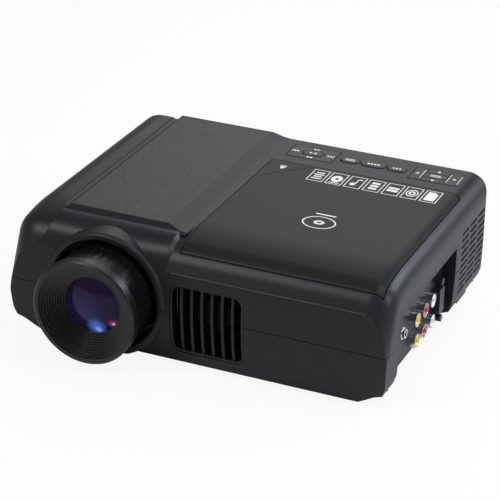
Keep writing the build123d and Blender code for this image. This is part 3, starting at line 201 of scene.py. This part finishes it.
# lens finish: dark glass colour and a thin clear coat, plus painted reflections. These are soft spots of
# emission on object coordinates: a deep blue haze, a bright blue glow and its tip low down, and a magenta
# glint and its spark at the right. light is the strength of this painted glow
lensCoatAndPaintedGlow = {
    "glass": (0.006, 0.003, 0.012),
    "paintedHaze": (0.013, 0.012, 0.066), "paintedHazeAt": (-0.0038, -0.0022), "paintedHazeSize": 0.0145,
    "glow": (0.07, 0.18, 0.75), "glowAt": (0.0036, -0.0130), "glowSize": 0.0078,
    "tip": (0.4, 0.42, 0.9), "tipAt": (0.0048, -0.0146), "tipSize": 0.0030,
    "glint": (0.3, 0.03, 0.15), "glintAt": (0.0140, -0.0092), "glintSize": 0.0040,
    "spark": (0.8, 0.5, 0.65), "sparkAt": (0.0143, -0.0094), "sparkSize": 0.0016,
    "rough": 0.04, "specular": 0.2, "tint": (0.55, 0.55, 1.0), "coat": 0.1, "coatRough": 0.03, "light": 0.75,
}


def paintedLightSpot(tree, point, centre, size):
    # mask of one round spot of painted reflection on the lens: 1 at its centre, 0 at its edge
    place = addNode(tree, "ShaderNodeVectorMath")
    place.operation = "SUBTRACT"
    place.inputs[1].default_value = centre
    flat = tree.nodes.new("ShaderNodeVectorMath")
    flat.operation = "MULTIPLY"
    flat.inputs[1].default_value = (1, 0, 1)
    length = tree.nodes.new("ShaderNodeVectorMath")
    length.operation = "LENGTH"
    spread = addNode(tree, "ShaderNodeMapRange", From_Min=size, From_Max=0.0, To_Min=0.0, To_Max=1.0)
    spread.interpolation_type = "SMOOTHSTEP"
    tree.links.new(point, place.inputs[0])
    tree.links.new(place.outputs["Vector"], flat.inputs[0])
    tree.links.new(flat.outputs["Vector"], length.inputs[0])
    tree.links.new(length.outputs["Value"], spread.inputs["Value"])
    return spread.outputs["Result"]


def makeLensCoatAndPaintedGlow(name, axisX, axisZ):
    mat = bpy.data.materials.new(name)
    mat.use_nodes = True
    tree = mat.node_tree
    shader = tree.nodes["Principled BSDF"]
    shader.inputs["Roughness"].default_value = lensCoatAndPaintedGlow["rough"]
    shader.inputs["Specular IOR Level"].default_value = lensCoatAndPaintedGlow["specular"]
    shader.inputs["Specular Tint"].default_value = (*lensCoatAndPaintedGlow["tint"], 1)
    shader.inputs["Coat Weight"].default_value = lensCoatAndPaintedGlow["coat"]
    shader.inputs["Coat Roughness"].default_value = lensCoatAndPaintedGlow["coatRough"]
    shader.inputs["Emission Strength"].default_value = lensCoatAndPaintedGlow["light"]
    point = objectPoint(tree, offset=(-axisX, 0, -axisZ))
    shader.inputs["Base Color"].default_value = (*lensCoatAndPaintedGlow["glass"], 1)
    last = None
    # painted reflections: each key below adds one emissive spot
    for key in ("paintedHaze", "glow", "tip", "glint", "spark"):   # soft spots, each laid over the one before
        x, z = lensCoatAndPaintedGlow[key + "At"]
        paintedLightMask = paintedLightSpot(tree, point, (x, 0, z), lensCoatAndPaintedGlow[key + "Size"])
        layer = tree.nodes.new("ShaderNodeMix")
        layer.data_type = "RGBA"
        layer.inputs["A"].default_value = (*lensCoatAndPaintedGlow["glass"], 1)
        layer.inputs["B"].default_value = (*lensCoatAndPaintedGlow[key], 1)
        if last:
            tree.links.new(last, layer.inputs["A"])
        tree.links.new(paintedLightMask, layer.inputs["Factor"])
        last = layer.outputs["Result"]
    # painted light: the mixed spots feed the emission, so the whole lens glows, its dark glass colour
    # included, though it is no lamp
    tree.links.new(last, shader.inputs["Emission Color"])
    return mat


low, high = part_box("front_lens")
finishes["lensWithPaintedReflections"] = makeLensCoatAndPaintedGlow("lensWithPaintedReflections", (low[0] + high[0]) / 2, (low[2] + high[2]) / 2)

nodeFinish = {
    "caseBlack": ["upper_case", "lower_case", "av_panel", "lamp_door"],
    "lidBlack": ["lid", "open_button"],
    "panelGrain": ["top_panel"],
    "grilleBlack": ["front_grille"],
    "keyBlack": ["transport_pad", "play_key", "oval_key_1", "oval_key_2", "oval_key_3", "menu_left_key",
                 "menu_right_key", "menu_down_key", "menu_centre_key", "menu_up_key", "power_rocker"],
    "innerBlack": ["disc_deck", "lid_latch", "turntable", "pickup_sled", "fan_frame", "fan_rotor",
                   "engine_frame", "lens_mount", "power_inlet", "speaker"],
    "hoodBlack": ["lens_barrel"],
    "ringBlack": ["focus_ring"],
    "lensWithPaintedReflections": ["front_lens", "rear_lens"],
    "opticGlass": ["condenser_lens", "field_lens", "image_panel"],
    "sheetSteel": ["drive_chassis", "spindle_motor", "feed_motor", "light_box"],
    "portDark": ["data_port"],
    "castAlloy": ["lens_plate", "lamp_reflector"],
    "plateChrome": ["phono_sleeves", "earphone_jack", "lid_hinge_pins", "sled_rods", "feed_screw"],
    "boardGreen": ["main_board", "power_board", "av_board", "key_board"],
    "footRubber": ["rubber_feet", "drive_grommets"],
    "jackYellow": ["phono_rings_yellow"],
    "jackRed": ["phono_rings_red"],
    "jackWhite": ["phono_rings_white"],
    "greyNylon": ["transport_gimbal"],
    "ceramicCream": ["lamp"],
    "screwZinc": ["case_screws"],
}
for finishName, names in nodeFinish.items():
    for name in names:
        data = nodes[name].data
        data.materials.clear()
        data.materials.append(finishes[finishName])
print("finishes:", len(finishes))


legend = {"height": 0.08 * mm, "sink": 0.03 * mm}    # marks stand 0.05 mm proud of their key or lid
weldDistance = 1e-7


def placePiece(name, bm, finishName, body):
    bmesh.ops.remove_doubles(bm, verts=bm.verts, dist=weldDistance)
    bmesh.ops.recalc_face_normals(bm, faces=bm.faces)
    mesh = bpy.data.meshes.new(name)
    bm.to_mesh(mesh)
    bm.free()
    mesh.materials.append(finishes[finishName])
    piece = bpy.data.objects.new(name, mesh)
    bpy.context.scene.collection.objects.link(piece)
    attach(piece, body)
    return piece


def raiseFaces(bm, faces):
    # turns flat faces into a thin closed slab
    made = bmesh.ops.extrude_face_region(bm, geom=faces)
    tops = [v for v in made["geom"] if isinstance(v, bmesh.types.BMVert)]
    bmesh.ops.translate(bm, verts=tops, vec=(0, 0, legend["height"]))


def flatBar(bm, x, y, z, length, width):
    place = Matrix.Translation((x, y, z + legend["height"] / 2))
    place = place @ Matrix.Diagonal((length, width, legend["height"], 1))
    bmesh.ops.create_cube(bm, size=1, matrix=place)


def flatDisc(bm, x, y, z, radius, segments=40, turn=0.0, squash=1.0):
    place = Matrix.Translation((x, y, z)) @ Matrix.Diagonal((1, squash, 1, 1))
    place = place @ Matrix.Rotation(turn, 4, "Z")
    made = bmesh.ops.create_circle(bm, cap_ends=True, segments=segments, radius=radius, matrix=place)
    faces = list({f for v in made["verts"] for f in v.link_faces})
    raiseFaces(bm, faces)


def flatRing(bm, x, y, z, outer, inner, squash=1.0, segments=48):
    place = Matrix.Translation((x, y, z)) @ Matrix.Diagonal((1, squash, 1, 1))
    rims = []
    for radius in (outer, inner):
        made = bmesh.ops.create_circle(bm, cap_ends=False, segments=segments, radius=radius, matrix=place)
        rims += list({e for v in made["verts"] for e in v.link_edges})
    bridged = bmesh.ops.bridge_loops(bm, edges=rims)
    raiseFaces(bm, bridged["faces"])


def flatFrame(bm, x, y, z, width, depth, line):
    place = Matrix.Translation((x, y, z)) @ Matrix.Diagonal((width, depth, 1, 1))
    made = bmesh.ops.create_grid(bm, x_segments=1, y_segments=1, size=0.5, matrix=place)
    middle = list({f for v in made["verts"] for f in v.link_faces})
    rim = bmesh.ops.inset_region(bm, faces=middle, thickness=line, use_even_offset=True,
                                use_boundary=True)
    bmesh.ops.delete(bm, geom=middle, context="FACES")
    raiseFaces(bm, rim["faces"])


# place and size of the crease rod, whose lighter grey is a painted highlight
creaseHighlightRod = {
    "y": -74.42 * mm, "z": 61.96 * mm, "radius": 0.24 * mm, "segments": 12,
    "startX": -13.6 * mm, "endX": 108.0 * mm,
}


def makeCreaseHighlightRod():
    # painted highlight: a thin rod, lighter grey than the case, along the crease where the front slope meets
    # the front wall, standing in for its bright edge
    bm = bmesh.new()
    length = creaseHighlightRod["endX"] - creaseHighlightRod["startX"]
    place = Matrix.Translation((creaseHighlightRod["startX"] + length / 2, creaseHighlightRod["y"], creaseHighlightRod["z"]))
    place = place @ Matrix.Rotation(math.radians(90), 4, "Y")
    bmesh.ops.create_cone(bm, cap_ends=True, segments=creaseHighlightRod["segments"], radius1=creaseHighlightRod["radius"],
                          radius2=creaseHighlightRod["radius"], depth=length, matrix=place)
    return placePiece("creaseHighlightRod", bm, "paintedHighlightGrey", "case")


lidNose = {
    "blendRadius": 17.97 * mm, "blendFrom": 128.5, "blendTo": 120.6,
    "rollReach": 15.4 * mm, "rollRadius": 2.4 * mm, "rollFrom": 84.0, "rollTo": 128.0,
    "steps": 6, "leftInset": 1.5 * mm, "rightInset": 7.5 * mm,
}


def makeLidNose():
    # fills the groove between the lid's skin and its hinge roll
    low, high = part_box("lid_hinge_pins")
    rollY, rollZ = (low[1] + high[1]) / 2, (low[2] + high[2]) / 2
    bearing = math.radians(lidNose["rollTo"])
    blendY = rollY - lidNose["rollReach"] * math.cos(bearing)
    blendZ = rollZ - lidNose["rollReach"] * math.sin(bearing)
    arcs = ((blendY, blendZ, lidNose["blendRadius"], lidNose["blendFrom"], lidNose["blendTo"]),
            (rollY, rollZ, lidNose["rollRadius"], lidNose["rollFrom"], lidNose["rollTo"]))
    lidLow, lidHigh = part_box("lid")
    startX, endX = lidLow[0] + lidNose["leftInset"], lidHigh[0] - lidNose["rightInset"]
    bm = bmesh.new()
    verts = []
    for y, z, radius, fromAngle, toAngle in arcs:
        for step in range(lidNose["steps"] + 1):
            angle = math.radians(fromAngle + (toAngle - fromAngle) * step / lidNose["steps"])
            verts.append(bm.verts.new((startX, y + radius * math.cos(angle), z + radius * math.sin(angle))))
    made = bmesh.ops.extrude_face_region(bm, geom=[bm.faces.new(verts)])
    ends = [v for v in made["geom"] if isinstance(v, bmesh.types.BMVert)]
    bmesh.ops.translate(bm, verts=ends, vec=(endX - startX, 0, 0))
    return placePiece("lidNose", bm, "lidBlack", "lid")


makeCreaseHighlightRod()
makeLidNose()
# the crease rod here is a painted highlight; the lid nose is moulded shape
print("moulded edges done")


icons = {
    "firstX": 25.6 * mm, "pitch": 12.42 * mm, "y": 56.2 * mm, "width": 10.6 * mm, "depth": 17.2 * mm,
    "line": 0.55 * mm, "ringSquash": 1.35, "dotSquash": 1.2,
}
# what each box holds, in shares of its width and depth:
# bars have a place across and along, a length and a width, rings two radii, dots a place and a radius
iconForms = {
    "lines": [("bar", 0, (row - 1.5) * 0.17, 0.62 - 0.12 * (row % 2), 0.08) for row in range(4)],
    "disc": [("ring", 0.34, 0.11), ("bar", 0, -0.36, 0.6, 0.06)],
    "note": [("dot", -0.1, -0.16, 0.17), ("bar", 0.05, 0.06, 0.08, 0.46), ("bar", 0.16, 0.27, 0.3, 0.07)],
    "film": [("bar", 0, row * 0.23, 0.5, 0.15) for row in (-1, 0, 1)],
    "bands": [("bar", 0, 0.12, 0.66, 0.14), ("bar", 0, -0.1, 0.66, 0.18)],
    "rings": [("ring", 0.36, 0.29), ("ring", 0.2, 0.1)],
    "card": [("bar", 0, -0.04, 0.64, 0.62), ("bar", -0.08, 0.32, 0.46, 0.12)],
}
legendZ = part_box("open_button")[1][2] - legend["sink"]


def makeIcons():
    bm = bmesh.new()
    w, d, y = icons["width"], icons["depth"], icons["y"]
    for i, forms in enumerate(iconForms.values()):
        x = icons["firstX"] + icons["pitch"] * i
        flatFrame(bm, x, y, legendZ, w, d, icons["line"])
        for kind, *sizes in forms:
            if kind == "bar":
                across, along, length, width = sizes
                flatBar(bm, x + w * across, y + d * along, legendZ, w * length, d * width)
            elif kind == "ring":
                outer, inner = sizes
                flatRing(bm, x, y, legendZ, w * outer, w * inner, squash=icons["ringSquash"])
            else:
                across, along, radius = sizes
                flatDisc(bm, x + w * across, y + d * along, legendZ, w * radius, squash=icons["dotSquash"])
    return placePiece("lidIcons", bm, "legendAndHighlightWhite", "lid")


discMark = {
    "x": 52.0 * mm, "y": -8.0 * mm, "outer": 10.5 * mm, "inner": 9.6 * mm, "hub": 3.4 * mm, "hole": 1.5 * mm,
    "squash": 0.8, "barRise": 11.5 * mm, "barLength": 13 * mm, "barWidth": 1.3 * mm,
}


def makeDiscMark():
    bm = bmesh.new()
    x, y, squash = discMark["x"], discMark["y"], discMark["squash"]
    flatRing(bm, x, y, legendZ, discMark["outer"], discMark["inner"], squash=squash)
    flatRing(bm, x, y, legendZ, discMark["hub"], discMark["hole"], squash=squash)
    flatBar(bm, x, y + discMark["barRise"], legendZ, discMark["barLength"], discMark["barWidth"])
    return placePiece("lidDiscMark", bm, "legendAndHighlightWhite", "lid")


# the bar's rise, length and width are shares of the arrow's size
ejectMark = {
    "x": 0.2 * mm, "y": 58.2 * mm, "size": 2.6 * mm, "barRise": 0.95, "barLength": 1.75, "barWidth": 0.35,
}


def makeEjectMark():
    bm = bmesh.new()
    x, y, size = ejectMark["x"], ejectMark["y"], ejectMark["size"]
    flatDisc(bm, x, y, legendZ, size, segments=3, turn=math.radians(180))
    flatBar(bm, x, y + size * ejectMark["barRise"], legendZ, size * ejectMark["barLength"],
            size * ejectMark["barWidth"])
    return placePiece("ejectMark", bm, "legendAndHighlightWhite", "release")


makeIcons()
makeDiscMark()
makeEjectMark()
print("lid legends done")


# all but the size are shares of it
glyph = {
    "size": 1.35 * mm, "barWidth": 0.4, "barLength": 1.8, "pairGap": 0.8, "innerArrow": 0.7, "endBar": 2.0,
    "playArrow": 1.1, "menuArrow": 1.1,
}


def keyTop(node):
    low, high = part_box(node)
    return (low[0] + high[0]) / 2, (low[1] + high[1]) / 2, high[2] - legend["sink"]


def arrowMark(bm, x, y, z, bearing, size=glyph["size"]):
    # a filled arrowhead whose tip points along the bearing, in degrees from +X
    flatDisc(bm, x, y, z, size, segments=3, turn=math.radians(bearing - 90))


padReach = {"side": 11.4 * mm, "row": 6.6 * mm}


def makePadMarks():
    bm = bmesh.new()
    x, y, z = keyTop("transport_pad")
    s = glyph["size"]
    for side in (-1, 1):     # skip marks at both ends
        at = x + side * padReach["side"]
        bearing = 0 if side > 0 else 180
        arrowMark(bm, at - side * s * glyph["innerArrow"], y, z, bearing)
        arrowMark(bm, at + side * s * glyph["pairGap"], y, z, bearing)
        flatBar(bm, at + side * s * glyph["endBar"], y, z, s * glyph["barWidth"], s * glyph["barLength"])
    for side in (-1, 1):     # winding marks in front and behind
        at = y + side * padReach["row"]
        bearing = 0 if side > 0 else 180
        arrowMark(bm, x - s * glyph["pairGap"], at, z, bearing)
        arrowMark(bm, x + s * glyph["pairGap"], at, z, bearing)
    return placePiece("padMarks", bm, "legendAndHighlightWhite", "pad")


def makePlayMark():
    bm = bmesh.new()
    x, y, z = keyTop("play_key")
    s = glyph["size"]
    arrowMark(bm, x - s * glyph["playArrow"], y, z, 0)
    for i in (1, 2):
        flatBar(bm, x + s * glyph["pairGap"] * i, y, z, s * glyph["barWidth"], s * glyph["barLength"])
    return placePiece("playMark", bm, "legendAndHighlightWhite", "play_key_body")


menuMarks = {
    "bearings": {"menu_left_key": 180, "menu_right_key": 0, "menu_up_key": 90, "menu_down_key": -90},
    "rowPitch": 1.2 * mm, "rowLength": 7 * mm, "rowWidth": 0.55 * mm,
}


def makeMenuMarks():
    for node, bearing in menuMarks["bearings"].items():
        bm = bmesh.new()
        x, y, z = keyTop(node)
        arrowMark(bm, x, y, z, bearing, glyph["size"] * glyph["menuArrow"])
        placePiece(node + "Mark", bm, "legendAndHighlightWhite", node + "_body")
    bm = bmesh.new()
    x, y, z = keyTop("menu_centre_key")
    for row in (-1, 0, 1):
        flatBar(bm, x, y + row * menuMarks["rowPitch"], z, menuMarks["rowLength"], menuMarks["rowWidth"])
    placePiece("menuMark", bm, "legendCream", "menu_centre_key_body")


# sizes of the painted highlight lines beside the menu keys
menuEdgeHighlights = {"width": 0.4 * mm, "share": 0.62, "inset": 0.8 * mm}


def makeMenuEdgeHighlights():
    # painted highlights: thin light lines beside the middle keys and at the pad's right end, standing in for
    # the bright edges of the gaps between keys
    for node, sides in (("menu_left_key", ("right",)), ("menu_right_key", ("left", "right"))):
        low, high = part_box(node)
        bm = bmesh.new()
        for side in sides:
            x = high[0] - menuEdgeHighlights["inset"] if side == "right" else low[0] + menuEdgeHighlights["inset"]
            flatBar(bm, x, (low[1] + high[1]) / 2, high[2] - legend["sink"],
                    menuEdgeHighlights["width"], (high[1] - low[1]) * menuEdgeHighlights["share"])
        placePiece(node + "Line", bm, "legendAndHighlightWhite", node + "_body")


ovalMarks = {
    "barRise": 0.8 * mm, "barLength": 6.4 * mm, "barWidth": 0.7 * mm, "pitch": 2.2 * mm,
    "blockLength": 1.5 * mm, "blockWidth": 1.7 * mm, "dotRadius": 0.8 * mm, "dotSegments": 20,
}


def makeOvalMarks():
    for i, form in enumerate(("bars", "blocks", "dots")):
        node = "oval_key_%d" % (i + 1)
        x, y, z = keyTop(node)
        bm = bmesh.new()
        if form == "bars":
            for row in (-1, 1):
                flatBar(bm, x, y + row * ovalMarks["barRise"], z, ovalMarks["barLength"],
                        ovalMarks["barWidth"])
        elif form == "blocks":
            for step in range(4):
                flatBar(bm, x + (step - 1.5) * ovalMarks["pitch"], y, z, ovalMarks["blockLength"],
                        ovalMarks["blockWidth"])
        else:
            for step in range(3):
                flatDisc(bm, x + (step - 1) * ovalMarks["pitch"], y, z, ovalMarks["dotRadius"],
                         segments=ovalMarks["dotSegments"])
        placePiece(node + "Mark", bm, "legendAndHighlightWhite", node + "_body")


makePadMarks()
makePlayMark()
makeMenuMarks()
makeMenuEdgeHighlights()
makeOvalMarks()
print("key legends done")


room = {
    "floorSize": 12.0, "floorColour": (0.8, 0.8, 0.8), "floorRough": 0.4,
    "whiteShare": 0.9, "worldLight": 0.26,
}


def whiteMix(tree, shader, output):
    # seen by the camera itself, the surface is plain white blended with its own shade and shadow
    path = tree.nodes.new("ShaderNodeLightPath")
    glow = addNode(tree, "ShaderNodeEmission", Color=(1, 1, 1, 1), Strength=1.0)
    mix = tree.nodes.new("ShaderNodeMixShader")
    seen = tree.nodes.new("ShaderNodeMath")
    seen.operation = "MULTIPLY"
    seen.inputs[1].default_value = room["whiteShare"]
    tree.links.new(path.outputs["Is Camera Ray"], seen.inputs[0])
    tree.links.new(seen.outputs["Value"], mix.inputs["Fac"])
    tree.links.new(shader, mix.inputs[1])
    tree.links.new(glow.outputs["Emission"], mix.inputs[2])
    tree.links.new(mix.outputs["Shader"], output)


def makeFloor():
    bm = bmesh.new()
    bmesh.ops.create_grid(bm, x_segments=1, y_segments=1, size=room["floorSize"] / 2)
    mesh = bpy.data.meshes.new("paleFloor")
    bm.to_mesh(mesh)
    bm.free()
    floor = bpy.data.objects.new("paleFloor", mesh)
    bpy.context.scene.collection.objects.link(floor)
    mat = bpy.data.materials.new("paleFloor")
    mat.use_nodes = True
    tree = mat.node_tree
    shader = tree.nodes["Principled BSDF"]
    shader.inputs["Base Color"].default_value = (*room["floorColour"], 1)
    shader.inputs["Roughness"].default_value = room["floorRough"]
    whiteMix(tree, shader.outputs["BSDF"], tree.nodes["Material Output"].inputs["Surface"])
    mesh.materials.append(mat)


def makeWorld():
    # white where the camera looks at it, dimmer as a light
    world = bpy.data.worlds.new("studio")
    bpy.context.scene.world = world
    world.use_nodes = True
    tree = world.node_tree
    back = tree.nodes["Background"]
    back.inputs["Color"].default_value = (1, 1, 1, 1)
    path = tree.nodes.new("ShaderNodeLightPath")
    level = addNode(tree, "ShaderNodeMapRange", To_Min=room["worldLight"], To_Max=1.0)
    tree.links.new(path.outputs["Is Camera Ray"], level.inputs["Value"])
    tree.links.new(level.outputs["Result"], back.inputs["Strength"])


lamps = {
    "topBox": dict(at=(0.45, -0.1, 1.25), to=(0, 0, 0.03), size=0.5, watts=5, colour=(1, 1, 1)),
    "backBox": dict(at=(-0.35, 1.25, 0.8), to=(0, 0.05, 0.08), size=0.8, watts=3, colour=(1, 1, 1)),
    "rightBox": dict(at=(0.8, 0.85, 0.62), to=(0.1, 0, 0.05), size=0.5, watts=8, colour=(0.8, 0.88, 1.0)),
    "leftFrontBox": dict(at=(-0.62, -0.95, 1.0), to=(-0.05, 0, 0.04), size=0.45, watts=8, colour=(1, 1, 1)),
    "sideBox": dict(at=(1.1, -0.12, 0.55), to=(-0.05, -0.08, 0.05), size=0.28, watts=4, colour=(1, 1, 1)),
}


def makeLamps():
    for name, lamp in lamps.items():
        data = bpy.data.lights.new(name, "AREA")
        data.shape = "SQUARE"
        data.size = lamp["size"]
        data.energy = lamp["watts"]
        data.color = lamp["colour"]
        light = bpy.data.objects.new(name, data)
        bpy.context.scene.collection.objects.link(light)
        place = Vector(lamp["at"])
        light.location = place
        light.rotation_euler = (Vector(lamp["to"]) - place).to_track_quat("-Z", "Y").to_euler()


eye = {
    "at": (0.45673, -1.04497, 0.59998), "yaw": 23.42, "pitch": 25.85, "roll": 1.0,
    "lens": 148.47, "sensor": 36.0, "clipStart": 0.05,
}


def makeCamera():
    yaw, pitch, roll = (math.radians(eye[key]) for key in ("yaw", "pitch", "roll"))
    ahead = Vector((-math.sin(yaw) * math.cos(pitch), math.cos(yaw) * math.cos(pitch), -math.sin(pitch)))
    right = Vector((math.cos(yaw), math.sin(yaw), 0))
    up = right.cross(ahead)
    turnedRight = right * math.cos(roll) + up * math.sin(roll)
    turnedUp = up * math.cos(roll) - right * math.sin(roll)
    axes = Matrix((turnedRight, turnedUp, -ahead)).transposed()
    data = bpy.data.cameras.new("eye")
    data.lens = eye["lens"]
    data.sensor_width = eye["sensor"]
    data.clip_start = eye["clipStart"]
    camera = bpy.data.objects.new("eye", data)
    bpy.context.scene.collection.objects.link(camera)
    camera.matrix_world = Matrix.Translation(eye["at"]) @ axes.to_4x4()
    bpy.context.scene.camera = camera


makeFloor()
makeWorld()
makeLamps()
makeCamera()
bpy.context.scene.view_settings.view_transform = "Standard"
print("room, lamps and camera done")
